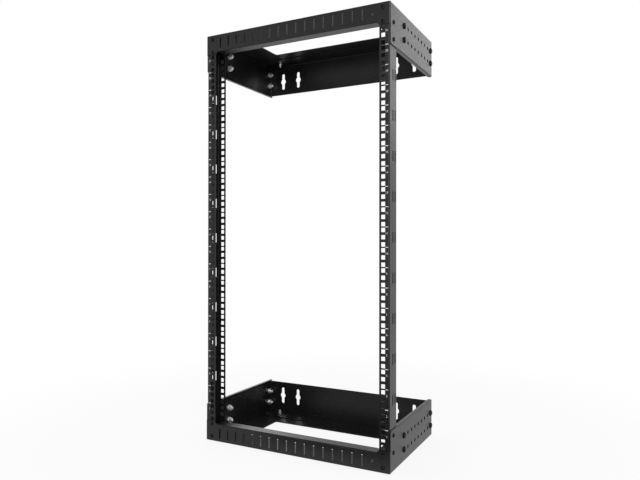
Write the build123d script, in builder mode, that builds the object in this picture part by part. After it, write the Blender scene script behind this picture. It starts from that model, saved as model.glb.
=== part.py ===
"""Wall mount open frame rack for 19 inch equipment, at its shortest depth setting.

Two folded trays, one above and one below, carry two upright C-channel rails at the front. Two wall brackets nest
inside the trays at the back, are bolted through the trays' side plates, and hang on the wall by keyholes.
X runs to the right, Y towards the wall and Z up. The origin is under the middle of the whole rack, on its base.
"""

import os

from build123d import *

os.makedirs("parts", exist_ok=True)

# Rack standard
rack_unit = 44.45
clear_units = 21
hole_rows_in_unit = (6.35, 22.225, 38.1)
square_hole = 9.5

# Overall sizes
overall_width = 500.0
tray_depth = 305.0
corner_height = 50.0
overall_height = clear_units * rack_unit + 2 * corner_height

# Sheet and folds
sheet = 2.0
bend_outside = 3.0

# Tray
side_height = 93.0
panel_height = 44.0
lip_depth = 28.0
lip_rail_gap = 5.5
lip_corner = 6.0
side_flange = 9.5
side_flange_start = 48.0
side_flange_corner = 3.0
side_corner = 5.0
cutout_width = 340.0
cutout_front = 80.0
cutout_back = 210.0
cutout_corner = 6.0

# Row of upright slots in the front panel, and the earth hole that takes the last place in the row
slot_places = 18
slot_row_inset = 42.6
slot_width = 3.0
slot_height = 25.4
slot_centre = 21.0
earth_hole_radius = 3.0
earth_hole_centre = 24.0

# Depth adjustment holes in the side plates
step_pitch = 25.4
step_inset = 9.5
step_wing_margin = 12.0
step_rows = (27.0, 59.5)
bolt_clearance = 0.3

# Rails, whose hole inset sets the two columns of equipment holes 465.1 apart
rail_flange = 24.5
rail_hole_inset = 17.45
rail_depth = 44.0
rail_end_gap = 0.5
web_slot_rows = 9
web_slot_pitch = 90.0
web_slot_height = 23.5
web_slot_width = 4.0
web_slot_depths = (22.0, 36.0)

# Wall brackets
bracket_height = 88.9
wing_rail_gap = 34.0
wing_corner = 8.0
foot_depth = 60.0
keyhole_inset = 46.8
keyhole_pitch = 50.8
keyhole_slot_width = 9.0
keyhole_slot_length = 46.0
keyhole_eye_radius = 8.0
keyhole_centre = 50.0

# Side bolts, washers and nuts
bolt_radius = 3.0
bolt_head_radius = 6.75
bolt_head_height = 4.0
bolt_length = 16.0
head_taper = 12.0
washer_radius = 6.0
washer_thickness = 1.6
nut_width = 10.0
nut_height = 5.0
thread_clearance = 0.15

# Screws that hold the rails and the corners
screw_radius = 2.5
screw_head_radius = 4.75
screw_head_height = 2.4
screw_length = 12.0
side_screw_depth = 23.0
side_screw_heights = (41.0, 79.1)
flush_head_radius = 4.5
countersink_angle = 90.0
flush_clearance = 0.2
corner_screw_side_inset = 51.3
corner_screw_inset = 27.0
corner_screw_length = 14.0
corner_washer_radius = 5.0
corner_washer_thickness = 1.0
corner_nut_width = 8.0
corner_nut_height = 4.0

# Places worked out from the sizes above
front_y = -(tray_depth + screw_head_height) / 2 + screw_head_height
wall_y = front_y + tray_depth
mid_y = (front_y + wall_y) / 2
mid_z = overall_height / 2
half_width = overall_width / 2
inside_half_width = half_width - sheet
bend_middle = bend_outside - sheet / 2
hole_x = half_width - rail_hole_inset
flange_end_x = inside_half_width - rail_flange
lip_half_length = flange_end_x - lip_rail_gap
last_slot_x = half_width - slot_row_inset
slot_pitch = 2 * last_slot_x / (slot_places - 1)
top_z = overall_height
tray_floor_z = top_z - side_height
bolt_hole_radius = bolt_radius + bolt_clearance
screw_hole_radius = screw_radius + bolt_clearance
tapped_hole_radius = screw_radius + thread_clearance
corner_screw_x = half_width - corner_screw_side_inset
corner_screw_y = wall_y - corner_screw_inset
wing_start = sheet + rail_depth + wing_rail_gap
wing_length = tray_depth - wing_start
step_last = tray_depth - step_inset
step_count = int((step_last - wing_start - step_wing_margin) / step_pitch) + 1
step_first = step_last - (step_count - 1) * step_pitch
bolt_depths = (step_first, step_last)
end_unit_z = top_z - corner_height + rack_unit
front_screw_z = (end_unit_z - hole_rows_in_unit[0], end_unit_z - hole_rows_in_unit[2])
front_plane = Plane.XZ.offset(-front_y)
middle_plane = Plane.XY.offset(mid_z)
rail_low_z = bend_outside + rail_end_gap
rail_length = overall_height - 2 * rail_low_z
bracket_half_width = inside_half_width
outer_keyhole_x = half_width - keyhole_inset
keyhole_columns = (outer_keyhole_x - keyhole_pitch, outer_keyhole_x)
bracket_top_z = top_z - sheet
bracket_low_z = top_z - bracket_height
corners = {"upper_left": (-1, 1), "upper_right": (1, 1), "lower_left": (-1, -1), "lower_right": (1, -1)}


def save(piece, label):
    """Name a finished piece and write it to its own file."""
    piece.label = label
    export_step(piece, "parts/" + label + ".step")


def height(drop, level):
    """Height of a point at this distance from the top edge (level 1) or from the base (level -1)."""
    return mid_z + level * (mid_z - drop)


def side_points(depths, drops, levels=(1,)):
    """Points on the YZ plane, by depth behind the front face and distance from the nearest end."""
    return [(front_y + depth, height(drop, level)) for level in levels for depth in depths for drop in drops]


def side_seats(side, level, depths, drops, x, facing):
    """Planes on a side wall at distance x from the middle, facing outwards (1) or inwards (-1)."""
    points = side_points(depths, drops, (level,))
    return [Plane(origin=(side * x, y, z), z_dir=(side * facing, 0, 0)) for y, z in points]


def corner_seats(level, drop, facing):
    """Planes for the two upright corner screws, facing out of the rack (1) or into it (-1)."""
    z = height(drop, level)
    return [
        Plane(origin=(side * corner_screw_x, corner_screw_y, z), z_dir=(0, 0, level * facing))
        for side in (-1, 1)
    ]


def step_depths():
    """Depths of the adjustment holes behind the front face."""
    return [step_first + step * step_pitch for step in range(step_count)]


def front_screw_points(levels):
    """Places of the screws through the front panel, for both rails, on the front plane."""
    drops = [top_z - z for z in front_screw_z]
    return [(side * hole_x, height(drop, level)) for level in levels for side in (-1, 1) for drop in drops]


# Upper tray: one sheet folded down at the front and the sides
with BuildPart() as upper_tray:
    with BuildSketch(Plane.XY.offset(tray_floor_z)):
        with Locations((0, mid_y)):
            Rectangle(overall_width, tray_depth)
    extrude(amount=side_height)
    rear_face = upper_tray.faces().sort_by(Axis.Y)[-1]
    open_edges = upper_tray.faces().sort_by(Axis.Z)[0].edges() + rear_face.edges()
    fold_edges = [edge for edge in upper_tray.edges() if edge not in open_edges]
    fillet(fold_edges, radius=bend_outside)
    offset(
        amount=-sheet,
        openings=[upper_tray.faces().sort_by(Axis.Z)[0], upper_tray.faces().sort_by(Axis.Y)[-1]],
    )
    # Under the front panel the side plates end at the corner fold
    with BuildSketch(Plane.XY.offset(tray_floor_z)):
        with Locations((0, front_y + bend_outside / 2)):
            Rectangle(overall_width, bend_outside)
    extrude(amount=side_height - corner_height, mode=Mode.SUBTRACT)
    # Between the rails the panel is shorter and turns back in a lip
    with BuildSketch(front_plane):
        with BuildLine():
            Polyline(
                (-lip_half_length, top_z - panel_height + bend_outside),
                (lip_half_length, top_z - panel_height + bend_outside),
                (lip_half_length, top_z - panel_height),
                (lip_half_length + corner_height - panel_height, top_z - corner_height),
                (-lip_half_length - corner_height + panel_height, top_z - corner_height),
                (-lip_half_length, top_z - panel_height),
                close=True,
            )
        make_face()
    extrude(amount=-sheet, mode=Mode.SUBTRACT)
    with BuildSketch(Plane.YZ):
        with BuildLine() as lip_line:
            FilletPolyline(
                (front_y + sheet / 2, top_z - panel_height + 2 * bend_outside),
                (front_y + sheet / 2, top_z - panel_height + sheet / 2),
                (front_y + lip_depth, top_z - panel_height + sheet / 2),
                radius=bend_middle,
            )
        trace(lip_line.line, line_width=sheet)
    extrude(amount=lip_half_length, both=True)
    with BuildSketch(Plane.XY.offset(top_z - panel_height)):
        for side in (-1, 1):
            with BuildLine():
                Polyline(
                    (side * lip_half_length, front_y + lip_depth - lip_corner),
                    (side * lip_half_length, front_y + lip_depth),
                    (side * (lip_half_length - lip_corner), front_y + lip_depth),
                    close=True,
                )
            make_face()
    extrude(amount=sheet, mode=Mode.SUBTRACT)
    # Narrow flange turned inwards along the free edge of each side plate
    with BuildSketch(Plane.XZ.offset(-wall_y)):
        for side in (-1, 1):
            with Locations((side * (half_width - sheet / 2), tray_floor_z + bend_outside / 2)):
                Rectangle(sheet, bend_outside)
    extrude(amount=tray_depth - side_flange_start, mode=Mode.SUBTRACT)
    for side in (-1, 1):
        with BuildSketch(Plane.XZ.offset(-wall_y)):
            with BuildLine() as flange_line:
                FilletPolyline(
                    (side * (half_width - sheet / 2), tray_floor_z + 2 * bend_outside),
                    (side * (half_width - sheet / 2), tray_floor_z + sheet / 2),
                    (side * (half_width - side_flange), tray_floor_z + sheet / 2),
                    radius=bend_middle,
                )
            trace(flange_line.line, line_width=sheet)
        extrude(amount=tray_depth - side_flange_start)
    with BuildSketch(Plane.XY.offset(tray_floor_z)):
        for side in (-1, 1):
            for start, inward in ((wall_y, -1), (front_y + side_flange_start, 1)):
                with BuildLine():
                    Polyline(
                        (side * (half_width - side_flange), start),
                        (side * (half_width - sheet - bend_outside), start),
                        (side * (half_width - side_flange), start + inward * side_flange_corner),
                        close=True,
                    )
                make_face()
    extrude(amount=sheet, mode=Mode.SUBTRACT)
    # The front corner of each side plate's free edge is rounded
    lowest_fronts = upper_tray.edges().filter_by(Axis.X).filter_by(
        lambda edge: edge.length < bend_outside
        and abs(edge.center().Z - tray_floor_z) < sheet
        and edge.center().Y < front_y + 2 * bend_outside
    )
    fillet(lowest_fronts, radius=side_corner)
    # Openings in the panels
    with BuildSketch(Plane.XY.offset(top_z)):
        with Locations((0, front_y + (cutout_front + cutout_back) / 2)):
            RectangleRounded(cutout_width, cutout_back - cutout_front, cutout_corner)
    extrude(amount=-sheet, mode=Mode.SUBTRACT)
    with BuildSketch(front_plane):
        slots = [(place * slot_pitch - last_slot_x, top_z - slot_centre) for place in range(slot_places - 1)]
        with Locations(*slots):
            Rectangle(slot_width, slot_height)
        with Locations((last_slot_x, top_z - earth_hole_centre)):
            Circle(earth_hole_radius)
        with Locations(*front_screw_points((1,))):
            Circle(screw_hole_radius)
    extrude(amount=-sheet, mode=Mode.SUBTRACT)
    with BuildSketch(Plane.YZ):
        with Locations(*side_points(step_depths(), step_rows)):
            Circle(bolt_hole_radius)
    extrude(amount=half_width, both=True, mode=Mode.SUBTRACT)
    # Countersunk holes for the flush screws
    flush_seats = corner_seats(1, 0, 1)
    for side in (-1, 1):
        flush_seats += side_seats(side, 1, (side_screw_depth,), side_screw_heights, half_width, 1)
    with Locations(*flush_seats):
        CounterSinkHole(
            radius=screw_hole_radius,
            counter_sink_radius=flush_head_radius,
            depth=2 * sheet,
            counter_sink_angle=countersink_angle,
        )
save(upper_tray.part, "upper_tray")

# Lower tray: the same sheet turned over
with BuildPart() as lower_tray:
    add(mirror(upper_tray.part, about=middle_plane, mode=Mode.PRIVATE))
save(lower_tray.part, "lower_tray")

# Upper wall bracket: back plate, two wings and a foot under the tray's panel, folded from one sheet
with BuildPart() as upper_wall_bracket:
    with BuildSketch(Plane.XY.offset(bracket_low_z)):
        with Locations((0, wall_y - wing_length / 2)):
            Rectangle(2 * bracket_half_width, wing_length)
    extrude(amount=bracket_top_z - bracket_low_z)
    front_face = upper_wall_bracket.faces().sort_by(Axis.Y)[0]
    open_edges = upper_wall_bracket.faces().sort_by(Axis.Z)[0].edges() + front_face.edges()
    fold_edges = [edge for edge in upper_wall_bracket.edges() if edge not in open_edges]
    fillet(fold_edges, radius=bend_outside)
    offset(
        amount=-sheet,
        openings=[
            upper_wall_bracket.faces().sort_by(Axis.Z)[0],
            upper_wall_bracket.faces().sort_by(Axis.Y)[0],
        ],
    )
    # The wings stand free in front of the foot
    with BuildSketch(Plane.XY.offset(bracket_top_z)):
        with Locations((0, wall_y - (wing_length + foot_depth) / 2)):
            Rectangle(2 * bracket_half_width, wing_length - foot_depth)
    extrude(amount=-bend_outside, mode=Mode.SUBTRACT)
    wing_ends = upper_wall_bracket.edges().filter_by(Axis.X).group_by(Axis.Y)[0]
    fillet(wing_ends, radius=wing_corner)
    with BuildSketch(Plane.XZ.offset(-wall_y)):
        with Locations(*[(side * x, top_z - keyhole_centre) for side in (-1, 1) for x in keyhole_columns]):
            SlotOverall(keyhole_slot_length, keyhole_slot_width, rotation=90)
            Circle(keyhole_eye_radius)
    extrude(amount=sheet, mode=Mode.SUBTRACT)
    with BuildSketch(Plane.YZ):
        with Locations(*side_points(bolt_depths, step_rows)):
            Circle(bolt_hole_radius)
    extrude(amount=half_width, both=True, mode=Mode.SUBTRACT)
    with Locations(*corner_seats(1, sheet, 1)):
        Hole(radius=screw_hole_radius, depth=sheet)
save(upper_wall_bracket.part, "upper_wall_bracket")

# Lower wall bracket: the same piece turned over
with BuildPart() as lower_wall_bracket:
    add(mirror(upper_wall_bracket.part, about=middle_plane, mode=Mode.PRIVATE))
save(lower_wall_bracket.part, "lower_wall_bracket")

# Right rail: C-channel with its web against the side plates
with BuildPart() as right_rail:
    rail_front_y = front_y + sheet
    rail_back_y = rail_front_y + rail_depth
    with BuildSketch(Plane.XY.offset(rail_low_z)):
        with BuildLine() as channel:
            FilletPolyline(
                (flange_end_x, rail_front_y + sheet / 2),
                (inside_half_width - sheet / 2, rail_front_y + sheet / 2),
                (inside_half_width - sheet / 2, rail_back_y - sheet / 2),
                (flange_end_x, rail_back_y - sheet / 2),
                radius=bend_middle,
            )
        trace(channel.line, line_width=sheet)
    extrude(amount=rail_length)
    # Equipment holes, three to a rack unit, in both flanges
    with BuildSketch(Plane.XZ.offset(-rail_back_y)):
        for unit in range(clear_units):
            unit_top_z = top_z - corner_height - unit * rack_unit
            with Locations(*[(hole_x, unit_top_z - row) for row in hole_rows_in_unit]):
                Rectangle(square_hole, square_hole)
    extrude(amount=rail_depth, mode=Mode.SUBTRACT)
    # Pairs of upright strap slots in the web
    with BuildSketch(Plane.YZ.offset(inside_half_width)):
        first_row_z = mid_z - (web_slot_rows - 1) / 2 * web_slot_pitch
        for row in range(web_slot_rows):
            row_z = first_row_z + row * web_slot_pitch
            with Locations(*[(front_y + depth, row_z) for depth in web_slot_depths]):
                Rectangle(web_slot_width, web_slot_height)
        with Locations(*side_points((side_screw_depth,), side_screw_heights, (-1, 1))):
            Circle(tapped_hole_radius)
    extrude(amount=-sheet, mode=Mode.SUBTRACT)
    with BuildSketch(Plane.XZ.offset(-rail_front_y)):
        with Locations(*[point for point in front_screw_points((-1, 1)) if point[0] > 0]):
            Circle(tapped_hole_radius)
    extrude(amount=-sheet, mode=Mode.SUBTRACT)
save(right_rail.part, "right_rail")

# Left rail: the right one mirrored
with BuildPart() as left_rail:
    add(mirror(right_rail.part, about=Plane.YZ, mode=Mode.PRIVATE))
save(left_rail.part, "left_rail")


def headed_screws(label, seats, head_radius, head_height, shank_radius, length):
    """Screws with a low tapered head that sits on each seat, as one group of separate solids."""
    with BuildPart() as screws:
        for seat in seats:
            with BuildSketch(seat):
                Circle(head_radius)
            extrude(amount=head_height, taper=head_taper)
            with BuildSketch(seat):
                Circle(shank_radius)
            extrude(amount=-length)
    save(screws.part, label)


def flush_screws(label, seats, length):
    """Countersunk screws whose heads lie level with each seat."""
    top_radius = flush_head_radius - flush_clearance
    with BuildPart() as screws:
        for seat in seats:
            with BuildSketch(seat):
                Circle(top_radius)
            extrude(amount=-(top_radius - screw_radius), taper=countersink_angle / 2)
            with BuildSketch(seat):
                Circle(screw_radius)
            extrude(amount=-length)
    save(screws.part, label)


def washers(label, seats, outer_radius, shank_radius, thickness):
    """Flat washers lying on each seat."""
    with BuildPart() as rings:
        for seat in seats:
            with BuildSketch(seat):
                Circle(outer_radius)
                Circle(shank_radius + bolt_clearance, mode=Mode.SUBTRACT)
            extrude(amount=thickness)
    save(rings.part, label)


def nuts(label, seats, width, shank_radius, thickness):
    """Hexagon nuts lying on each seat, by their width across flats."""
    with BuildPart() as hexagons:
        for seat in seats:
            with BuildSketch(seat):
                RegularPolygon(radius=width / 2, side_count=6, major_radius=False)
                Circle(shank_radius + thread_clearance, mode=Mode.SUBTRACT)
            extrude(amount=thickness)
    save(hexagons.part, label)


# Fasteners at each of the four corners
for corner, (side, level) in corners.items():
    outside = side_seats(side, level, bolt_depths, step_rows, half_width, 1)
    headed_screws(
        corner + "_side_bolts", outside, bolt_head_radius, bolt_head_height, bolt_radius, bolt_length
    )
    inside_x = half_width - 2 * sheet
    inside = side_seats(side, level, bolt_depths, step_rows, inside_x, -1)
    washers(corner + "_side_washers", inside, washer_radius, bolt_radius, washer_thickness)
    on_washers = side_seats(side, level, bolt_depths, step_rows, inside_x - washer_thickness, -1)
    nuts(corner + "_side_nuts", on_washers, nut_width, bolt_radius, nut_height)
    rail_sides = side_seats(side, level, (side_screw_depth,), side_screw_heights, half_width, 1)
    flush_screws(corner + "_rail_side_screws", rail_sides, screw_length)
    rail_fronts = [
        Plane(origin=(x, front_y, z), z_dir=(0, -1, 0))
        for x, z in front_screw_points((level,))
        if x * side > 0
    ]
    headed_screws(
        corner + "_rail_front_screws",
        rail_fronts,
        screw_head_radius,
        screw_head_height,
        screw_radius,
        screw_length,
    )

# Upright screws that tie tray and bracket at the rear corners
for name, level in (("upper", 1), ("lower", -1)):
    flush_screws(name + "_corner_screws", corner_seats(level, 0, 1), corner_screw_length)
    washers(
        name + "_corner_washers",
        corner_seats(level, 2 * sheet, -1),
        corner_washer_radius,
        screw_radius,
        corner_washer_thickness,
    )
    nuts(
        name + "_corner_nuts",
        corner_seats(level, 2 * sheet + corner_washer_thickness, -1),
        corner_nut_width,
        screw_radius,
        corner_nut_height,
    )
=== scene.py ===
"""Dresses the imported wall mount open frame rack, in metres, in the frame of its solids.

The folded sheets are copies of the solids, with some slots and holes opened wider and their cut
edges eased. Bolts, screws, washers and nuts are turned once each and copied to their places. Unit
marks are printed on the rails, and a plain white studio stands around.
"""

from __future__ import annotations

import logging
import math
from dataclasses import dataclass, field
from enum import Enum
from typing import Any, Sequence

import bpy
from mathutils import Matrix, Vector


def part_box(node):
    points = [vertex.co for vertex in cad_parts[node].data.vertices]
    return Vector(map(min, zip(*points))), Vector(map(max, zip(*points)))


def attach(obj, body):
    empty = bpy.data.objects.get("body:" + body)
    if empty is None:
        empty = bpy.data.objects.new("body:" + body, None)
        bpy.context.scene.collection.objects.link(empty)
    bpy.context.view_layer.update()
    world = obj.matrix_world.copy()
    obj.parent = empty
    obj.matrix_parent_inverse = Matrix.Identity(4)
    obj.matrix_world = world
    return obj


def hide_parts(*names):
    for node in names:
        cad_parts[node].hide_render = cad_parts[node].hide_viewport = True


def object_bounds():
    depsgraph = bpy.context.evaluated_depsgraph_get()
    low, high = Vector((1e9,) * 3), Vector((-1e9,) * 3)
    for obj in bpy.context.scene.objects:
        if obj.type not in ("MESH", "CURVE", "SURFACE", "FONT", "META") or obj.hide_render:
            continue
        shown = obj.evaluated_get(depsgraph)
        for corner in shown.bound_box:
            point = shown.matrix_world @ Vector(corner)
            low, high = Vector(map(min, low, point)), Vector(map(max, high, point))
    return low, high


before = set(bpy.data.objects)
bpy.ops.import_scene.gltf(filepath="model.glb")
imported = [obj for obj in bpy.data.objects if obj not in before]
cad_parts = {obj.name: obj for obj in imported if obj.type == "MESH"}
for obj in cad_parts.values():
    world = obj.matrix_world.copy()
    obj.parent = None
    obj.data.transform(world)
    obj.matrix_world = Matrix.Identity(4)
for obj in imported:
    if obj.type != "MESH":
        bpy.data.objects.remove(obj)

CAD_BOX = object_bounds()
BODY = "root"
MM = 0.001
MERGE_DISTANCE = 1e-7
RING_SIDES = 48
THREAD_DEPTH = 0.61  # of the pitch
WHITE = (1.0, 1.0, 1.0, 1.0)

log = logging.getLogger("rack")


class Slot(Enum):
    """The record's material slots."""

    COAT = "powder_coat"
    BLACK = "black_fasteners"
    ZINC = "zinc_plate"


class Way(Enum):
    """Directions in which a fastener's head can face."""

    LEFT = (-1.0, 0.0, 0.0)
    RIGHT = (1.0, 0.0, 0.0)
    FRONT = (0.0, -1.0, 0.0)
    UP = (0.0, 0.0, 1.0)
    DOWN = (0.0, 0.0, -1.0)

    def turn(self) -> Matrix:
        """Gives the rotation that takes +Z to this direction."""
        return Vector((0.0, 0.0, 1.0)).rotation_difference(Vector(self.value)).to_matrix().to_4x4()

    def along(self) -> int:
        """Gives the number of the axis that this direction lies on."""
        return max(range(3), key=lambda axis: abs(self.value[axis]))

    def sign(self) -> float:
        """Gives +1 or -1, the side of the axis that this direction points to."""
        return self.value[self.along()]


# Modelling by operators


def deselect_all() -> None:
    """Leaves edit mode and clears the selection."""
    if bpy.context.object and bpy.context.object.mode != "OBJECT":
        bpy.ops.object.mode_set(mode="OBJECT")
    bpy.ops.object.select_all(action="DESELECT")


def hold(piece: bpy.types.Object) -> bpy.types.Object:
    """Makes a piece the only selected and the active one, and returns it."""
    deselect_all()
    piece.select_set(True)
    bpy.context.view_layer.objects.active = piece
    return piece


def take_new(name: str) -> bpy.types.Object:
    """Names the primitive that was just added, and holds it alone."""
    piece = bpy.context.active_object
    piece.name = name
    piece.data.name = name
    return hold(piece)


def edit(mode: str) -> None:
    """Enters edit mode with nothing selected.

    Args:
        mode: The kind of element to select, VERT, EDGE or FACE.
    """
    bpy.ops.object.mode_set(mode="EDIT")
    bpy.ops.mesh.select_mode(type=mode)
    bpy.ops.mesh.select_all(action="DESELECT")


def done() -> None:
    """Returns to object mode."""
    bpy.ops.object.mode_set(mode="OBJECT")


def modify(piece: bpy.types.Object, kind: str, **settings: Any) -> None:
    """Adds a modifier with its settings and applies it.

    Args:
        piece: The piece to modify.
        kind: The modifier's type.
        **settings: Properties of the modifier.
    """
    hold(piece)
    modifier = piece.modifiers.new(kind.title(), kind)
    for key, value in settings.items():
        setattr(modifier, key, value)
    bpy.ops.object.modifier_apply(modifier=modifier.name)


def outward(piece: bpy.types.Object) -> None:
    """Merges a piece's doubles and turns its faces outwards."""
    hold(piece)
    edit("VERT")
    bpy.ops.mesh.select_all(action="SELECT")
    bpy.ops.mesh.remove_doubles(threshold=MERGE_DISTANCE)
    bpy.ops.mesh.normals_make_consistent(inside=False)
    done()


def smooth(piece: bpy.types.Object, degrees: float) -> None:
    """Shades a piece smooth where its faces meet at less than an angle."""
    hold(piece)
    bpy.ops.object.shade_smooth_by_angle(angle=math.radians(degrees))


def copy_at(piece: bpy.types.Object, place: Matrix) -> bpy.types.Object:
    """Copies a piece with a mesh of its own, and moves the mesh to a place."""
    twin = piece.copy()
    twin.data = piece.data.copy()
    twin.data.transform(place)
    bpy.context.scene.collection.objects.link(twin)
    return twin


def join(pieces: Sequence[bpy.types.Object], name: str) -> bpy.types.Object:
    """Joins pieces into one of the given name."""
    hold(pieces[0])
    for piece in pieces:
        piece.select_set(True)
    if len(pieces) > 1:
        bpy.ops.object.join()
    return take_new(name)


def discard(piece: bpy.types.Object) -> None:
    """Removes a pattern piece and its mesh."""
    mesh = piece.data
    bpy.data.objects.remove(piece)
    bpy.data.meshes.remove(mesh)


def turned(
    name: str, profile: Sequence[tuple[float, float]], sides: int = RING_SIDES
) -> bpy.types.Object:
    """Turns a solid about the Z axis, by extruding and scaling a disc.

    Args:
        name: The piece's name.
        profile: Radius and height of each ring, from the lowest to the last.
        sides: How many sides the circle has.

    Returns:
        The closed solid.
    """
    radius, height = profile[0]
    deselect_all()
    bpy.ops.mesh.primitive_circle_add(
        vertices=sides, radius=radius, fill_type="NGON", location=(0.0, 0.0, height)
    )
    piece = take_new(name)
    bpy.ops.object.transform_apply(location=True, rotation=False, scale=False)
    edit("FACE")
    bpy.ops.mesh.select_all(action="SELECT")
    for next_radius, next_height in profile[1:]:
        bpy.ops.mesh.extrude_region_move(
            TRANSFORM_OT_translate={"value": (0.0, 0.0, next_height - height)}
        )
        scale = next_radius / radius
        bpy.ops.transform.resize(value=(scale, scale, 1.0), center_override=(0.0, 0.0, next_height))
        radius, height = next_radius, next_height
    done()
    outward(piece)
    return piece


def ring(
    name: str, inner: float, outer: float, low: float, high: float, easing: float
) -> bpy.types.Object:
    """Spins a rectangle with eased corners into a flat ring about the Z axis.

    Args:
        name: The piece's name.
        inner: Radius of the hole.
        outer: Outer radius.
        low: Lower height.
        high: Upper height.
        easing: How far the corners are rounded.

    Returns:
        The closed ring.
    """
    deselect_all()
    middle = ((inner + outer) / 2, 0.0, (low + high) / 2)
    bpy.ops.mesh.primitive_plane_add(size=1.0, location=middle, rotation=(math.pi / 2, 0.0, 0.0))
    piece = take_new(name)
    piece.scale = (outer - inner, high - low, 1.0)
    bpy.ops.object.transform_apply(location=True, rotation=True, scale=True)
    edit("VERT")
    bpy.ops.mesh.select_all(action="SELECT")
    bpy.ops.mesh.bevel(offset=easing, segments=2, affect="VERTICES")
    bpy.ops.mesh.select_all(action="SELECT")
    bpy.ops.mesh.delete(type="ONLY_FACE")
    bpy.ops.mesh.select_all(action="SELECT")
    bpy.ops.mesh.spin(
        steps=RING_SIDES, angle=math.tau, center=(0.0, 0.0, 0.0), axis=(0.0, 0.0, 1.0)
    )
    done()
    outward(piece)
    return piece


def carve(
    piece: bpy.types.Object, cutter: bpy.types.Object, operation: str, solver: str = "EXACT"
) -> None:
    """Cuts or meets a piece with another closed piece, which is then discarded.

    Args:
        piece: The piece that changes.
        cutter: The tool's shape.
        operation: DIFFERENCE, INTERSECT or UNION.
        solver: The Boolean modifier's way of working.
    """
    modify(piece, "BOOLEAN", operation=operation, object=cutter, solver=solver)
    discard(cutter)
    outward(piece)


def cross_cutter(width: float, span: float, depth: float) -> bpy.types.Object:
    """Makes the tapered cross that cuts a screw's recess down from the origin.

    Args:
        width: How wide each arm is.
        span: How far the cross reaches from arm to arm at the top.
        depth: How deep the cross goes.

    Returns:
        The cutter, which starts a little above the origin.
    """
    above = 0.2 * MM
    shrink, narrow = 0.45, 0.7
    arms = []
    for index in range(2):
        deselect_all()
        bpy.ops.mesh.primitive_plane_add(size=1.0, location=(0.0, 0.0, above))
        arm = take_new("recess_arm")
        arm.scale = (span, width, 1.0) if index == 0 else (width, span, 1.0)
        bpy.ops.object.transform_apply(location=True, rotation=False, scale=True)
        edit("FACE")
        bpy.ops.mesh.select_all(action="SELECT")
        bpy.ops.mesh.extrude_region_move(
            TRANSFORM_OT_translate={"value": (0.0, 0.0, -depth - above)}
        )
        value = (shrink, narrow, 1.0) if index == 0 else (narrow, shrink, 1.0)
        bpy.ops.transform.resize(value=value, center_override=(0.0, 0.0, -depth))
        done()
        outward(arm)
        arms.append(arm)
    carve(arms[0], arms[1], "UNION")
    return arms[0]


def ridges(
    radius: float, pitch: float, low: float, high: float
) -> tuple[tuple[float, float], ...]:
    """Gives the profile of a thread, drawn as closed ridges above a chamfered free end.

    Args:
        radius: Radius over the crests.
        pitch: Distance from crest to crest.
        low: Height of the free end.
        high: Height that no ridge passes.

    Returns:
        Radius and height of each ring, from the free end upwards.
    """
    root = radius - THREAD_DEPTH * pitch
    chamfer_in, chamfer_up, first = 0.25 * pitch, 0.3 * pitch, 0.35 * pitch
    crest_from, crest_to, valley = 0.42 * pitch, 0.56 * pitch, 0.98 * pitch
    profile = [(root - chamfer_in, low), (root, low + chamfer_up)]
    start = low + first
    while start + pitch <= high:
        profile += [
            (root, start),
            (radius, start + crest_from),
            (radius, start + crest_to),
            (root, start + valley),
        ]
        start += pitch
    return tuple(profile)


# Finishes


class Shade:
    """Wraps one output socket, so that sums on shader values read as plain expressions."""

    def __init__(self, bench: "Bench", socket: bpy.types.NodeSocket) -> None:
        """Keeps the socket and the bench that makes nodes beside it."""
        self.bench = bench
        self.socket = socket

    def _math(self, operation: str, first: Any, second: Any) -> "Shade":
        """Adds a Math node on two values or sockets."""
        return self.bench.node("ShaderNodeMath", {"operation": operation}, {0: first, 1: second})

    def __add__(self, other: Any) -> "Shade":
        """Adds."""
        return self._math("ADD", self, other)

    __radd__ = __add__

    def __mul__(self, other: Any) -> "Shade":
        """Multiplies."""
        return self._math("MULTIPLY", self, other)

    __rmul__ = __mul__

    def __sub__(self, other: Any) -> "Shade":
        """Subtracts a value from this one."""
        return self._math("SUBTRACT", self, other)

    def __rsub__(self, other: Any) -> "Shade":
        """Subtracts this value from another."""
        return self._math("SUBTRACT", other, self)

    def __gt__(self, other: Any) -> "Shade":
        """Gives 1 where this value is above another."""
        return self._math("GREATER_THAN", self, other)


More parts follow.
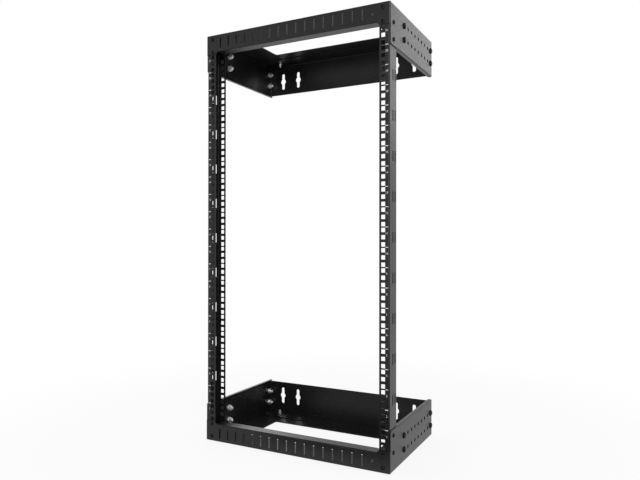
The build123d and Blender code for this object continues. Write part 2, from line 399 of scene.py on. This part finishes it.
class Bench:
    """Lays out the nodes of one material or world."""

    def __init__(self, owner: bpy.types.ID) -> None:
        """Clears the owner's node tree.

        Args:
            owner: A material or a world.
        """
        owner.use_nodes = True
        self.tree = owner.node_tree
        self.tree.nodes.clear()

    def node(
        self,
        kind: str,
        settings: dict[str, Any] | None = None,
        values: dict[int | str, Any] | None = None,
        output: int | str = 0,
    ) -> Shade:
        """Adds a node: its settings first, then the values or links of its sockets.

        Args:
            kind: The node's type.
            settings: Properties of the node. A ramp's stops go under "stops".
            values: Values or Shades by input name or number.
            output: The output that is returned.

        Returns:
            The wrapped output socket.
        """
        made = self.tree.nodes.new(kind)
        for key, value in (settings or {}).items():
            if key == "stops":
                self._set_stops(made.color_ramp, value)
            else:
                setattr(made, key, value)
        for key, value in (values or {}).items():
            if isinstance(value, Shade):
                self.tree.links.new(value.socket, made.inputs[key])
            else:
                made.inputs[key].default_value = value
        return Shade(self, made.outputs[output] if len(made.outputs) else None)

    @staticmethod
    def _set_stops(
        ramp: bpy.types.ColorRamp, stops: Sequence[tuple[float, Sequence[float]]]
    ) -> None:
        """Sets a ramp's stops, each a place and a colour."""
        while len(ramp.elements) < len(stops):
            ramp.elements.new(0.5)
        for element, (place, colour) in zip(ramp.elements, stops):
            element.position = place
            element.color = (*colour, 1.0)

    def noise(self, scale: float, detail: float) -> Shade:
        """Gives noise between 0 and 1 in Object coordinates.

        Args:
            scale: How many waves there are to a metre.
            detail: How many finer layers are added.

        Returns:
            The noise value.
        """
        place = self.node("ShaderNodeTexCoord", output="Object")
        return self.node(
            "ShaderNodeTexNoise",
            values={"Vector": place, "Scale": scale, "Detail": detail},
            output="Fac",
        )

    def ramp(self, factor: Shade, low: Sequence[float], high: Sequence[float]) -> Shade:
        """Gives a colour between two, as a factor goes from a quarter to three quarters."""
        stops = ((0.25, low), (0.75, high))
        return self.node("ShaderNodeValToRGB", {"stops": stops}, {"Fac": factor}, output="Color")


@dataclass(frozen=True)
class Finish:
    """A finish that varies a little over the surface, with a fine texture in relief."""

    name: str
    low_colour: tuple[float, float, float]
    high_colour: tuple[float, float, float]
    roughness: float
    roughness_spread: float
    metallic: float
    specular: float
    cloud_scale: float
    grain_scale: float
    grain_height: float
    grain_strength: float
    cloud_detail: float = 3.0
    grain_detail: float = 2.0

    def material(self) -> bpy.types.Material:
        """Builds the material.

        Returns:
            A material of the finish's name.
        """
        material = bpy.data.materials.new(self.name)
        bench = Bench(material)
        cloud = bench.noise(self.cloud_scale, self.cloud_detail)
        grain = bench.noise(self.grain_scale, self.grain_detail)
        bump = bench.node(
            "ShaderNodeBump",
            values={
                "Strength": self.grain_strength,
                "Distance": self.grain_height,
                "Height": grain,
            },
        )
        surface = bench.node(
            "ShaderNodeBsdfPrincipled",
            values={
                "Base Color": bench.ramp(cloud, self.low_colour, self.high_colour),
                "Roughness": self.roughness + self.roughness_spread * (cloud + grain - 1.0),
                "Metallic": self.metallic,
                "Specular IOR Level": self.specular,
                "Normal": bump,
            },
        )
        bench.node("ShaderNodeOutputMaterial", values={"Surface": surface})
        return material


POWDER_COAT = Finish(
    "satin_powder_coat",
    low_colour=(0.0045, 0.0045, 0.0047),
    high_colour=(0.0065, 0.0065, 0.0067),
    roughness=0.34,
    roughness_spread=0.07,
    metallic=0.0,
    specular=0.32,
    cloud_scale=9.0,
    grain_scale=290.0,
    grain_height=0.0004,
    grain_strength=1.0,
)
BLACK_ZINC = Finish(
    "black_zinc",
    low_colour=(0.003, 0.003, 0.0032),
    high_colour=(0.005, 0.005, 0.0053),
    roughness=0.18,
    roughness_spread=0.05,
    metallic=0.0,
    specular=0.16,
    cloud_scale=120.0,
    grain_scale=1600.0,
    grain_height=0.00003,
    grain_strength=0.25,
)
ZINC_PLATE = Finish(
    "zinc_plate",
    low_colour=(0.78, 0.79, 0.81),
    high_colour=(0.88, 0.88, 0.86),
    roughness=0.46,
    roughness_spread=0.12,
    metallic=1.0,
    specular=0.5,
    cloud_scale=160.0,
    grain_scale=1400.0,
    grain_height=0.00003,
    grain_strength=0.3,
)
MARK_INK = Finish(
    "mark_ink",
    low_colour=(0.52, 0.52, 0.51),
    high_colour=(0.6, 0.6, 0.59),
    roughness=0.55,
    roughness_spread=0.06,
    metallic=0.0,
    specular=0.4,
    cloud_scale=150.0,
    grain_scale=2500.0,
    grain_height=0.00001,
    grain_strength=0.2,
)


def hand_over(
    piece: bpy.types.Object, slot: Slot, material: bpy.types.Material, *nodes: str
) -> None:
    """Gives a finished piece its material, attaches it to the body and hides the nodes that it
    stands for.

    Args:
        piece: The finished piece.
        slot: The record's slot of its finish. Not used.
        material: The material.
        *nodes: The nodes that it replaces.
    """
    piece.data.materials.clear()
    piece.data.materials.append(material)
    for polygon in piece.data.polygons:
        polygon.material_index = 0
    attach(piece, BODY)
    if nodes:
        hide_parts(*nodes)
    log.info("%s: %d faces", piece.name, len(piece.data.polygons))


# Folded sheets


def slab(name: str, width: float, height: float, low: float, high: float) -> bpy.types.Object:
    """Makes an upright block about the Z axis, for cutting slots.

    Args:
        name: The piece's name.
        width: Size along X.
        height: Size along Y.
        low: Lower height.
        high: Upper height.

    Returns:
        The closed block.
    """
    deselect_all()
    bpy.ops.mesh.primitive_plane_add(size=1.0, location=(0.0, 0.0, low))
    piece = take_new(name)
    piece.scale = (width, height, 1.0)
    bpy.ops.object.transform_apply(location=True, rotation=False, scale=True)
    edit("FACE")
    bpy.ops.mesh.select_all(action="SELECT")
    bpy.ops.mesh.extrude_region_move(TRANSFORM_OT_translate={"value": (0.0, 0.0, high - low)})
    done()
    outward(piece)
    return piece


@dataclass
class Openings:
    """Cutters that open the step holes and slots to the widths that the photo shows."""

    step_radius: float = 4.3 * MM
    step_pitch: float = 25.4 * MM
    bolt_reach: float = 6.75 * MM
    web_width: float = 5.0 * MM
    web_height: float = 23.6 * MM
    web_depths: tuple[float, ...] = (20.0 * MM, 34.0 * MM)
    web_rows: int = 9
    web_pitch: float = 90.0 * MM
    slot_width: float = 4.0 * MM
    slot_height: float = 25.4 * MM
    slot_drop: float = 21.0 * MM
    slot_inset: float = 42.6 * MM
    slot_places: int = 18
    side_cut: float = 6.5 * MM
    web_cut: float = 3.5 * MM
    panel_cut: float = 3.0 * MM
    outside: float = 1.0 * MM

    def step_holes(self, end: str, every: bool) -> list[bpy.types.Object]:
        """Makes the cutters of a tray's step holes, or of the bolt holes in its bracket's wings.

        Args:
            end: The rack's end, upper or lower.
            every: Whether each step has a hole, or only the two with bolts.

        Returns:
            One joined cutter for each side.
        """
        cutters = []
        for side, way in (("left", Way.LEFT), ("right", Way.RIGHT)):
            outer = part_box(end + "_tray")[1].x * way.sign()
            low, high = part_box(f"{end}_{side}_side_bolts")
            first, last = low.y + self.bolt_reach, high.y - self.bolt_reach
            steps = round((last - first) / self.step_pitch)
            points = [
                Vector((outer, last - step * self.step_pitch, z))
                for step in range(0, steps + 1, 1 if every else steps)
                for z in (low.z + self.bolt_reach, high.z - self.bolt_reach)
            ]
            profile = ((self.step_radius, -self.side_cut), (self.step_radius, self.outside))
            pattern = turned("step_cutter", profile, 40)
            cutters.append(set_out(pattern, points, way, end + "_step_cutter"))
            discard(pattern)
        return cutters

    def web_slots(self, side: str, way: Way) -> list[bpy.types.Object]:
        """Makes the cutter of the pairs of upright slots in one rail's web.

        Args:
            side: The rail's side.
            way: The way in which its web faces.

        Returns:
            The joined cutter, in a list.
        """
        low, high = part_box(side + "_rail")
        outer = high.x if way.sign() > 0 else low.x
        middle = (low.z + high.z) / 2 - (self.web_rows - 1) / 2 * self.web_pitch
        points = [
            Vector((outer, low.y + depth, middle + row * self.web_pitch))
            for row in range(self.web_rows)
            for depth in self.web_depths
        ]
        pattern = slab(
            "web_cutter", self.web_height, self.web_width, -self.web_cut, self.outside
        )
        cutter = set_out(pattern, points, way, side + "_web_cutter")
        discard(pattern)
        return [cutter]

    def panel_slots(self, end: str) -> list[bpy.types.Object]:
        """Makes the cutter of the row of slots in one tray's front panel.

        Args:
            end: The rack's end, upper or lower.

        Returns:
            The joined cutter, in a list.
        """
        low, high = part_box(end + "_tray")
        z = high.z - self.slot_drop if end == "upper" else low.z + self.slot_drop
        last = high.x - self.slot_inset
        pitch = 2 * last / (self.slot_places - 1)
        points = [Vector((place * pitch - last, low.y, z)) for place in range(self.slot_places - 1)]
        pattern = slab(
            "slot_cutter", self.slot_width, self.slot_height, -self.panel_cut, self.outside
        )
        cutter = set_out(pattern, points, Way.FRONT, end + "_slot_cutter")
        discard(pattern)
        return [cutter]

    def cutters(self, name: str) -> list[bpy.types.Object]:
        """Makes the cutters of one sheet piece.

        Args:
            name: The node's name.

        Returns:
            The cutters.
        """
        stem = name.split("_")[0]
        if name.endswith("_rail"):
            return self.web_slots(stem, Way.RIGHT if stem == "right" else Way.LEFT)
        if name.endswith("_tray"):
            return self.step_holes(stem, True) + self.panel_slots(stem)
        return self.step_holes(stem, False)


@dataclass
class SheetPieces:
    """The trays, wall brackets and rails, with the cut edges of their sheet eased."""

    names: tuple[str, ...] = (
        "upper_tray",
        "lower_tray",
        "upper_wall_bracket",
        "lower_wall_bracket",
        "left_rail",
        "right_rail",
    )
    join_distance: float = 1e-6
    flat_angle: float = 0.2
    edge_easing: float = 0.18 * MM
    edge_segments: int = 2
    edge_angle: float = 50.0
    smooth_angle: float = 35.0
    openings: Openings = field(default_factory=Openings)

    def build(self, name: str) -> bpy.types.Object:
        """Copies a node, joins its loose triangles, cuts its openings and eases its cut edges.

        Args:
            name: The node's name.

        Returns:
            The finished mesh.
        """
        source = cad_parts[name]
        piece = bpy.data.objects.new(name + "_sheet", source.data.copy())
        bpy.context.scene.collection.objects.link(piece)
        hold(piece)
        edit("VERT")
        bpy.ops.mesh.select_all(action="SELECT")
        bpy.ops.mesh.remove_doubles(threshold=self.join_distance)
        bpy.ops.mesh.dissolve_limited(angle_limit=math.radians(self.flat_angle))
        done()
        for cutter in self.openings.cutters(name):
            carve(piece, cutter, "DIFFERENCE", "MANIFOLD")
        modify(
            piece,
            "BEVEL",
            width=self.edge_easing,
            segments=self.edge_segments,
            limit_method="ANGLE",
            angle_limit=math.radians(self.edge_angle),
            use_clamp_overlap=False,
            miter_outer="MITER_SHARP",
        )
        smooth(piece, self.smooth_angle)
        modify(piece, "WEIGHTED_NORMAL", keep_sharp=True, weight=100)
        return piece

    def dress(self, material: bpy.types.Material) -> None:
        """Builds every sheet piece and gives it the coat.

        Args:
            material: The powder coat.
        """
        for name in self.names:
            hand_over(self.build(name), Slot.COAT, material, name)


# Fasteners


def centres(node: str, guide: str, way: Way, reach: float) -> list[Vector]:
    """Finds where the fasteners of a node stand, from the corners of two boxes.

    Args:
        node: The node that the pieces stand for.
        guide: The node of the bolts or screws that they share an axis with.
        way: The direction in which the heads face.
        reach: Radius of the bolts' or screws' heads.

    Returns:
        A point for each piece, at its end nearest to the head's side.
    """
    own_low, own_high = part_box(node)
    low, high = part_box(guide)
    along = way.along()
    one_row = 2.2 * reach
    choices = []
    for axis in range(3):
        if axis == along:
            choices.append([own_high[axis] if way.sign() > 0 else own_low[axis]])
        elif high[axis] - low[axis] < one_row:
            choices.append([(low[axis] + high[axis]) / 2])
        else:
            choices.append([low[axis] + reach, high[axis] - reach])
    return [Vector((x, y, z)) for x in choices[0] for y in choices[1] for z in choices[2]]


def set_out(
    pattern: bpy.types.Object, points: Sequence[Vector], way: Way, name: str
) -> bpy.types.Object:
    """Copies a pattern to each point, turned to its way, and joins the copies.

    Args:
        pattern: A piece made about the Z axis, with its end on the head's side at the origin.
        points: Where the copies go.
        way: The direction that the pattern's +Z takes.
        name: Name of the joined piece.

    Returns:
        The joined piece.
    """
    copies = [copy_at(pattern, Matrix.Translation(point) @ way.turn()) for point in points]
    return join(copies, name)


@dataclass
class Bolt:
    """A bolt or screw with a cross recess. Its head's top is at the origin, its shank below."""

    name: str
    radius: float
    pitch: float
    head_profile: tuple[tuple[float, float], ...]
    length: float
    thread_from: float
    recess_width: float
    recess_span: float
    recess_depth: float
    sides: int = 36
    clearance: float = 0.04 * MM
    run_out: float = 0.2 * MM
    overlap: float = 0.3 * MM
    smooth_angle: float = 32.0

    def finish(self, body: bpy.types.Object) -> bpy.types.Object:
        """Cuts the recess and smooths the body."""
        cross = cross_cutter(self.recess_width, self.recess_span, self.recess_depth)
        carve(body, cross, "DIFFERENCE")
        smooth(body, self.smooth_angle)
        return body

    def thread(self) -> tuple[tuple[float, float], ...]:
        """Gives the profile of the free end's thread."""
        return ridges(self.radius, self.pitch, -self.length, -self.thread_from)

    def top(self) -> tuple[tuple[float, float], ...]:
        """Gives the profile of the plain shank and the head."""
        shank = self.radius - self.clearance
        rise = ((shank, self.run_out - self.thread_from), (shank, self.head_profile[0][1]))
        return rise + self.head_profile

    def parts(self) -> tuple[bpy.types.Object, bpy.types.Object]:
        """Turns the body and the thread as two pieces, for a free end of another finish.

        Returns:
            The body and the thread.
        """
        core = self.radius - THREAD_DEPTH * self.pitch - self.clearance
        foot = ((core, -self.thread_from - self.overlap),)
        body = turned(self.name, foot + self.top(), self.sides)
        tail = turned(self.name + "_thread", self.thread(), self.sides)
        smooth(tail, self.smooth_angle)
        return self.finish(body), tail

    def build(self) -> bpy.types.Object:
        """Turns the whole fastener as one piece.

        Returns:
            The pattern of the fastener.
        """
        return self.finish(turned(self.name, self.thread() + self.top(), self.sides))


@dataclass
class Nut:
    """A plain hexagon nut with both ends chamfered, from its near face at the origin downwards."""

    name: str
    flats: float
    height: float
    bore: float
    face_share: float = 0.97
    lip_share: float = 0.87
    mouth_widening: float = 0.45 * MM
    sink: float = 0.35 * MM
    over: float = 0.1 * MM
    smooth_angle: float = 25.0

    def build(self) -> bpy.types.Object:
        """Shapes the hexagon, meets it with a double cone and bores it.

        Returns:
            The pattern of the nut.
        """
        corner = self.flats / math.sqrt(3.0)
        lip = (corner - self.flats / 2) * self.lip_share
        body = turned(self.name, ((corner, -self.height), (corner, 0.0)), 6)
        edge = self.flats / 2 * self.face_share
        wide = corner + 0.01 * MM
        cone_profile = (
            (edge, -self.height),
            (wide, -self.height + lip),
            (wide, -lip),
            (edge, 0.0),
        )
        carve(body, turned("nut_cone", cone_profile), "INTERSECT")
        mouth = self.bore + self.mouth_widening
        hole_profile = (
            (mouth, -self.height - self.over),
            (self.bore, -self.height + self.sink),
            (self.bore, -self.sink),
            (mouth, self.over),
        )
        carve(body, turned("nut_bore", hole_profile, 40), "DIFFERENCE")
        smooth(body, self.smooth_angle)
        return body


@dataclass
class Washer:
    """A flat washer, from its near face at the origin downwards."""

    name: str
    inner: float
    outer: float
    thickness: float
    easing: float = 0.2 * MM
    smooth_angle: float = 40.0

    def build(self) -> bpy.types.Object:
        """Spins the washer's section.

        Returns:
            The pattern of the washer.
        """
        washer = ring(self.name, self.inner, self.outer, -self.thickness, 0.0, self.easing)
        smooth(washer, self.smooth_angle)
        return washer


TRUSS_HEAD = (
    (6.6 * MM, -4.0 * MM),
    (6.9 * MM, -3.9 * MM),
    (7.0 * MM, -3.65 * MM),
    (7.0 * MM, -2.6 * MM),
    (6.88 * MM, -1.9 * MM),
    (6.5 * MM, -1.2 * MM),
    (5.6 * MM, -0.65 * MM),
    (4.6 * MM, -0.28 * MM),
    (3.2 * MM, -0.08 * MM),
    (1.6 * MM, -0.01 * MM),
    (0.5 * MM, 0.0),
)
PAN_HEAD = (
    (4.5 * MM, -2.4 * MM),
    (4.68 * MM, -2.32 * MM),
    (4.75 * MM, -2.1 * MM),
    (4.72 * MM, -1.5 * MM),
    (4.5 * MM, -0.9 * MM),
    (4.05 * MM, -0.45 * MM),
    (3.3 * MM, -0.17 * MM),
    (2.2 * MM, -0.04 * MM),
    (0.5 * MM, 0.0),
)
FLUSH_HEAD = (
    (2.5 * MM, -1.8 * MM),
    (4.22 * MM, -0.12 * MM),
    (4.22 * MM, -0.04 * MM),
    (4.14 * MM, 0.0),
)


SIDE_BOLT = Bolt(
    "side_bolt",
    radius=4.0 * MM,
    pitch=1.25 * MM,
    head_profile=TRUSS_HEAD,
    length=20.0 * MM,
    thread_from=14.4 * MM,
    recess_width=1.5 * MM,
    recess_span=7.0 * MM,
    recess_depth=2.6 * MM,
    sides=40,
)
RAIL_SCREW = Bolt(
    "rail_screw",
    radius=2.5 * MM,
    pitch=0.8 * MM,
    head_profile=PAN_HEAD,
    length=14.4 * MM,
    thread_from=6.2 * MM,
    recess_width=1.1 * MM,
    recess_span=5.2 * MM,
    recess_depth=1.9 * MM,
)
CORNER_SCREW = Bolt(
    "corner_screw",
    radius=2.5 * MM,
    pitch=0.8 * MM,
    head_profile=FLUSH_HEAD,
    length=14.0 * MM,
    thread_from=8.8 * MM,
    recess_width=1.1 * MM,
    recess_span=5.0 * MM,
    recess_depth=1.9 * MM,
)
SIDE_WASHER = Washer("side_washer", inner=4.2 * MM, outer=8.0 * MM, thickness=1.6 * MM)
CORNER_WASHER = Washer("corner_washer", inner=2.6 * MM, outer=5.0 * MM, thickness=1.0 * MM)
SIDE_NUT = Nut("side_nut", flats=13.0 * MM, height=5.0 * MM, bore=4.02 * MM)
CORNER_NUT = Nut("corner_nut", flats=8.0 * MM, height=4.0 * MM, bore=2.52 * MM)


@dataclass
class Fasteners:
    """All bolts, screws, washers and nuts of the rack."""

    black: bpy.types.Material
    zinc: bpy.types.Material
    bolt_reach: float = 6.75 * MM
    screw_reach: float = 4.75 * MM
    flush_reach: float = 4.3 * MM

    def place(
        self,
        pattern: bpy.types.Object,
        node: str,
        guide: str,
        way: Way,
        reach: float,
        slot: Slot,
        lift: float = 0.0,
    ) -> None:
        """Sets a pattern out in a node's places and dresses it.

        Args:
            pattern: The pattern piece.
            node: The node that the copies stand for.
            guide: The node whose box gives the axes.
            way: Where the heads face.
            reach: Radius of the heads in the guide node.
            slot: The finish's slot.
            lift: How far the heads stand out past the node.
        """
        points = [point + lift * Vector(way.value) for point in centres(node, guide, way, reach)]
        piece = set_out(pattern, points, way, node + "_set")
        hand_over(piece, slot, self.zinc if slot is Slot.ZINC else self.black, node)

    def dress(self) -> None:
        """Builds each pattern once and sets it out at every corner."""
        bolt, bolt_thread = SIDE_BOLT.parts()
        washer, nut = SIDE_WASHER.build(), SIDE_NUT.build()
        rail_screw, corner = RAIL_SCREW.build(), CORNER_SCREW.build()
        corner_washer, corner_nut = CORNER_WASHER.build(), CORNER_NUT.build()
        for end in ("upper", "lower"):
            for side, way in (("left", Way.LEFT), ("right", Way.RIGHT)):
                stem = f"{end}_{side}_"
                bolts = stem + "side_bolts"
                self.place(bolt, bolts, bolts, way, self.bolt_reach, Slot.BLACK)
                points = centres(bolts, bolts, way, self.bolt_reach)
                threads = set_out(bolt_thread, points, way, stem + "side_bolt_threads")
                hand_over(threads, Slot.ZINC, self.zinc)
                for pattern, kind in ((washer, "side_washers"), (nut, "side_nuts")):
                    self.place(pattern, stem + kind, bolts, way, self.bolt_reach, Slot.ZINC)
                screws, lift = stem + "rail_side_screws", -PAN_HEAD[0][1]
                self.place(rail_screw, screws, screws, way, self.flush_reach, Slot.BLACK, lift)
                screws = stem + "rail_front_screws"
                self.place(rail_screw, screws, screws, Way.FRONT, self.screw_reach, Slot.BLACK)
            way = Way.UP if end == "upper" else Way.DOWN
            screws = end + "_corner_screws"
            for pattern, kind in (
                (corner, "_corner_screws"),
                (corner_washer, "_corner_washers"),
                (corner_nut, "_corner_nuts"),
            ):
                self.place(pattern, end + kind, screws, way, self.flush_reach, Slot.ZINC)
        for pattern in (
            bolt,
            bolt_thread,
            washer,
            nut,
            rail_screw,
            corner,
            corner_washer,
            corner_nut,
        ):
            discard(pattern)


# Printed marks


@dataclass
class UnitMarks:
    """Lines and numbers of the rack units, printed on the rails beside their square holes."""

    material: bpy.types.Material
    unit: float = 44.45 * MM
    units: int = 21
    first_height: float = 50.0 * MM
    inset: float = 6.8 * MM
    line_width: float = 7.0 * MM
    line_height: float = 1.6 * MM
    number_drop: float = 14.0 * MM
    number_size: float = 7.0 * MM
    number_curve_steps: int = 3
    corner: float = 0.25 * MM
    proud: float = 0.04 * MM

    def line(self) -> bpy.types.Object:
        """Makes one printed line about the origin, facing the front.

        Returns:
            The pattern of the line.
        """
        deselect_all()
        bpy.ops.mesh.primitive_plane_add(size=1.0, rotation=(math.pi / 2, 0.0, 0.0))
        piece = take_new("unit_line")
        piece.scale = (self.line_width, self.line_height, 1.0)
        bpy.ops.object.transform_apply(location=False, rotation=True, scale=True)
        edit("VERT")
        bpy.ops.mesh.select_all(action="SELECT")
        bpy.ops.mesh.bevel(offset=self.corner, segments=2, affect="VERTICES")
        bpy.ops.mesh.select_all(action="SELECT")
        bpy.ops.mesh.extrude_region_move(
            TRANSFORM_OT_translate={"value": (0.0, -self.proud, 0.0)}
        )
        done()
        outward(piece)
        return piece

    def number(self, value: int) -> bpy.types.Object:
        """Makes one printed number about the origin, facing the front.

        Args:
            value: The number.

        Returns:
            The number's mesh.
        """
        deselect_all()
        bpy.ops.object.text_add()
        text = bpy.context.active_object
        text.data.body = str(value)
        text.data.size = self.number_size
        text.data.align_x = "CENTER"
        text.data.align_y = "CENTER"
        text.data.resolution_u = self.number_curve_steps
        text.data.extrude = self.proud / 2
        hold(text)
        bpy.ops.object.convert(target="MESH")
        piece = take_new("unit_number")
        upright = Matrix.Rotation(math.pi / 2, 4, "X")
        piece.data.transform(Matrix.Translation((0.0, -self.proud / 2, 0.0)) @ upright)
        outward(piece)
        return piece

    def dress(self) -> None:
        """Prints both rails, with unit 1 at the bottom."""
        line = self.line()
        for side, sign in (("left", -1.0), ("right", 1.0)):
            low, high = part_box(side + "_rail")
            outer = high.x if sign > 0 else low.x
            across = outer - sign * self.inset
            pieces = []
            for unit in range(1, self.units + 1):
                top = self.first_height + unit * self.unit
                if unit < self.units:
                    pieces.append(copy_at(line, Matrix.Translation((across, low.y, top))))
                number = self.number(unit)
                number.data.transform(Matrix.Translation((across, low.y, top - self.number_drop)))
                pieces.append(number)
            hand_over(join(pieces, side + "_rail_unit_marks"), Slot.COAT, self.material)
        discard(line)


# Studio


@dataclass
class Lamp:
    """A soft rectangular lamp that faces the rack's middle."""

    name: str
    place: tuple[float, float, float]
    size: tuple[float, float]
    power: float
    aim: tuple[float, float, float] = (0.0, 0.0, 0.5)

    def add(self) -> None:
        """Adds the lamp."""
        data = bpy.data.lights.new(self.name, "AREA")
        data.shape = "RECTANGLE"
        data.size, data.size_y = self.size
        data.energy = self.power
        lamp = bpy.data.objects.new(self.name, data)
        lamp.location = self.place
        facing = Vector(self.aim) - Vector(self.place)
        lamp.rotation_euler = facing.to_track_quat("-Z", "Y").to_euler()
        bpy.context.scene.collection.objects.link(lamp)


@dataclass
class Card:
    """A level dark card that only reflections see, so that walls stand out from the white room."""

    name: str
    place: tuple[float, float, float]
    size: tuple[float, float]
    colour: tuple[float, float, float, float] = (0.02, 0.02, 0.02, 1.0)

    def add(self) -> None:
        """Adds the card and its gloss-only material to the scene."""
        deselect_all()
        bpy.ops.mesh.primitive_plane_add(size=1.0)
        card = take_new(self.name)
        card.scale = (*self.size, 1.0)
        card.location = self.place
        material = bpy.data.materials.new(self.name)
        bench = Bench(material)
        gloss = bench.node("ShaderNodeLightPath", output="Is Glossy Ray")
        clear = bench.node("ShaderNodeBsdfTransparent")
        dark = bench.node("ShaderNodeBsdfDiffuse", values={"Color": self.colour})
        surface = bench.node("ShaderNodeMixShader", values={0: gloss, 1: clear, 2: dark})
        bench.node("ShaderNodeOutputMaterial", values={"Surface": surface})
        card.data.materials.append(material)


@dataclass
class Studio:
    """A white room with a pale floor, soft lamps and the photo's camera."""

    floor_size: float = 30.0
    floor_colour: tuple[float, float, float, float] = (0.8, 0.8, 0.8, 1.0)
    shadow_near: float = 0.45
    shadow_far: float = 1.3
    near_white: float = 0.86
    sky: float = 0.4
    lens: float = 33.396
    camera_place: tuple[float, float, float] = (0.7107, -1.3671, 0.5057)
    camera_turn: tuple[float, float, float] = (90.208, -0.047, 27.494)
    lamps: tuple[Lamp, ...] = (
        Lamp("key_lamp", (1.6, -2.5, 3.0), (1.6, 1.6), 22.0),
        Lamp("left_fill_lamp", (-3.0, -0.6, 2.4), (1.4, 1.4), 16.0),
        Lamp("right_rear_lamp", (1.5, 4.0, 2.2), (0.9, 1.5), 9.0),
        Lamp("front_fill_lamp", (0.9, -2.7, 0.6), (0.8, 1.2), 22.0),
        Lamp("small_lamp", (1.5, -2.0, 1.9), (0.4, 0.4), 22.0),
        Lamp("left_rear_lamp", (-1.9, 1.9, 1.5), (1.2, 1.8), 12.0),
        Lamp("top_lamp", (0.0, 0.2, 3.2), (1.8, 1.8), 18.0),
    )
    cards: tuple[Card, ...] = (
        Card("ceiling_card", (0.0, 0.0, 3.6), (8.0, 8.0)),
        Card("front_card", (0.92, -0.72, 0.002), (2.1, 1.0)),
    )

    def sky_light(self) -> None:
        """Makes the world white to camera and gloss, and a soft light on the object."""
        world = bpy.data.worlds.new("white_room")
        bpy.context.scene.world = world
        bench = Bench(world)
        seen = self.seen(bench)
        background = bench.node(
            "ShaderNodeBackground",
            values={"Color": WHITE, "Strength": self.sky + (1.0 - self.sky) * seen},
        )
        bench.node("ShaderNodeOutputWorld", values={"Surface": background})

    @staticmethod
    def seen(bench: Bench) -> Shade:
        """Gives 1 for rays from the camera, from gloss and through glass, and 0 for the rest."""
        camera = bench.node("ShaderNodeLightPath", output="Is Camera Ray")
        gloss = bench.node("ShaderNodeLightPath", output="Is Glossy Ray")
        glass = bench.node("ShaderNodeLightPath", output="Is Transmission Ray")
        return (camera + gloss + glass) > 0.5

    def floor(self) -> None:
        """Lays the floor, which looks white and keeps the rack's soft shadow."""
        deselect_all()
        bpy.ops.mesh.primitive_plane_add(size=self.floor_size, location=(0.0, 0.0, CAD_BOX[0].z))
        floor = take_new("studio_floor")
        material = bpy.data.materials.new("pale_floor")
        bench = Bench(material)
        pale = bench.node("ShaderNodeBsdfDiffuse", values={"Color": self.floor_colour})
        white = bench.node("ShaderNodeEmission", values={"Color": WHITE, "Strength": 1.0})
        place = bench.node("ShaderNodeTexCoord", output="Object")
        distance = bench.node("ShaderNodeVectorMath", {"operation": "LENGTH"}, {0: place}, "Value")
        away = bench.node(
            "ShaderNodeMapRange",
            {"interpolation_type": "SMOOTHSTEP"},
            {
                "Value": distance,
                "From Min": self.shadow_near,
                "From Max": self.shadow_far,
                "To Min": self.near_white,
                "To Max": 1.0,
            },
        )
        gloss = bench.node("ShaderNodeLightPath", output="Is Glossy Ray")
        lit = bench.node("ShaderNodeMixShader", values={0: away + gloss, 1: pale, 2: white})
        surface = bench.node("ShaderNodeMixShader", values={0: self.seen(bench), 1: pale, 2: lit})
        bench.node("ShaderNodeOutputMaterial", values={"Surface": surface})
        floor.data.materials.append(material)

    def camera(self) -> None:
        """Puts the camera where the photo was taken from."""
        data = bpy.data.cameras.new("photo_camera")
        data.lens = self.lens
        camera = bpy.data.objects.new("photo_camera", data)
        camera.location = self.camera_place
        camera.rotation_euler = [math.radians(turn) for turn in self.camera_turn]
        bpy.context.scene.collection.objects.link(camera)
        bpy.context.scene.camera = camera

    def build(self) -> None:
        """Sets up the room, lamps, camera and plain colours."""
        bpy.context.scene.view_settings.view_transform = "Standard"
        self.sky_light()
        self.floor()
        for fitting in self.lamps + self.cards:
            fitting.add()
        self.camera()


def main() -> None:
    """Builds the sheets, fasteners, marks and studio in order."""
    logging.basicConfig(level=logging.INFO, format="%(message)s")
    coat = POWDER_COAT.material()
    SheetPieces().dress(coat)
    Fasteners(black=BLACK_ZINC.material(), zinc=ZINC_PLATE.material()).dress()
    UnitMarks(MARK_INK.material()).dress()
    Studio().build()


if __name__ == "__main__":
    main()
